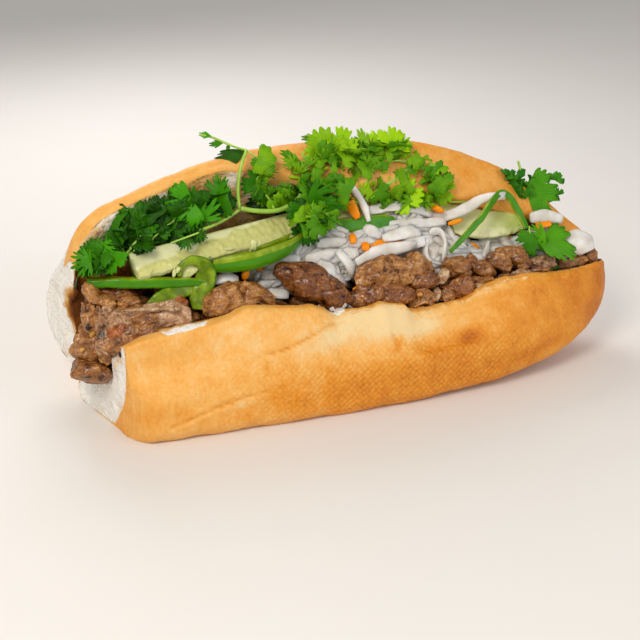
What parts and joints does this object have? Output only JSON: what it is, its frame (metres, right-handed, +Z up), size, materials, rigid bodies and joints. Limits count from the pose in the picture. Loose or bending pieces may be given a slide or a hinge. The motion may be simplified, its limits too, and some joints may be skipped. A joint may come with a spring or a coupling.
{
  "type": "banh mi sandwich",
  "caption": "Crusty split roll, cut across at one end and opened upwards, filled with grilled pork, pickled daikon and carrot, cucumber, green chilli and coriander.",
  "frame": {"origin": "bottom centre of the whole sandwich's box, on the surface that it rests on", "axes": "+X along the roll from its cut end to its rounded end, +Y from the open front to the back, +Z up"},
  "size_m": [0.2506, 0.0794, 0.1047],
  "materials": {
    "bread_crust": "baked crust, satin",
    "bread_crumb": "torn bread crumb, matt",
    "grilled_pork": "moist glazed meat",
    "cucumber": "wet cut flesh",
    "green_chilli": "waxy skin, glossy",
    "carrot": "wet pickled shreds",
    "daikon": "wet translucent shreds",
    "coriander": "fresh leaf, satin"
  },
  "bodies": {
    "root": {"bread_roll": "bread_crust", "bread_scrap": "bread_crumb", "carrot_strip_leaning": "carrot", "carrot_strip_lying": "carrot", "chilli_curl": "green_chilli", "chilli_half_ring": "green_chilli", "chilli_slice_low": "green_chilli", "chilli_strip_mid": "green_chilli", "chilli_strip_right": "green_chilli", "coriander_leaf_front": "coriander", "coriander_left": "coriander", "coriander_middle": "coriander", "coriander_right": "coriander", "cucumber_spear": "cucumber", "cucumber_spear_far": "cucumber", "cucumber_wedge": "cucumber", "daikon_heap": "daikon", "daikon_piece_end": "daikon", "daikon_strip_leaning": "daikon", "pork_chunk_b": "grilled_pork", "pork_chunk_c": "grilled_pork", "pork_chunk_f": "grilled_pork", "pork_chunk_g": "grilled_pork", "pork_chunk_h": "grilled_pork", "pork_chunk_i": "grilled_pork", "pork_chunk_j": "grilled_pork", "pork_chunk_k": "grilled_pork", "pork_chunk_l": "grilled_pork", "pork_end_curl": "grilled_pork", "pork_end_heel": "grilled_pork", "pork_end_low": "grilled_pork", "pork_end_slab": "grilled_pork", "pork_filling": "grilled_pork", "pork_slice_a": "grilled_pork", "pork_slice_d": "grilled_pork", "pork_slice_e": "grilled_pork"}
  },
  "joints": []
}
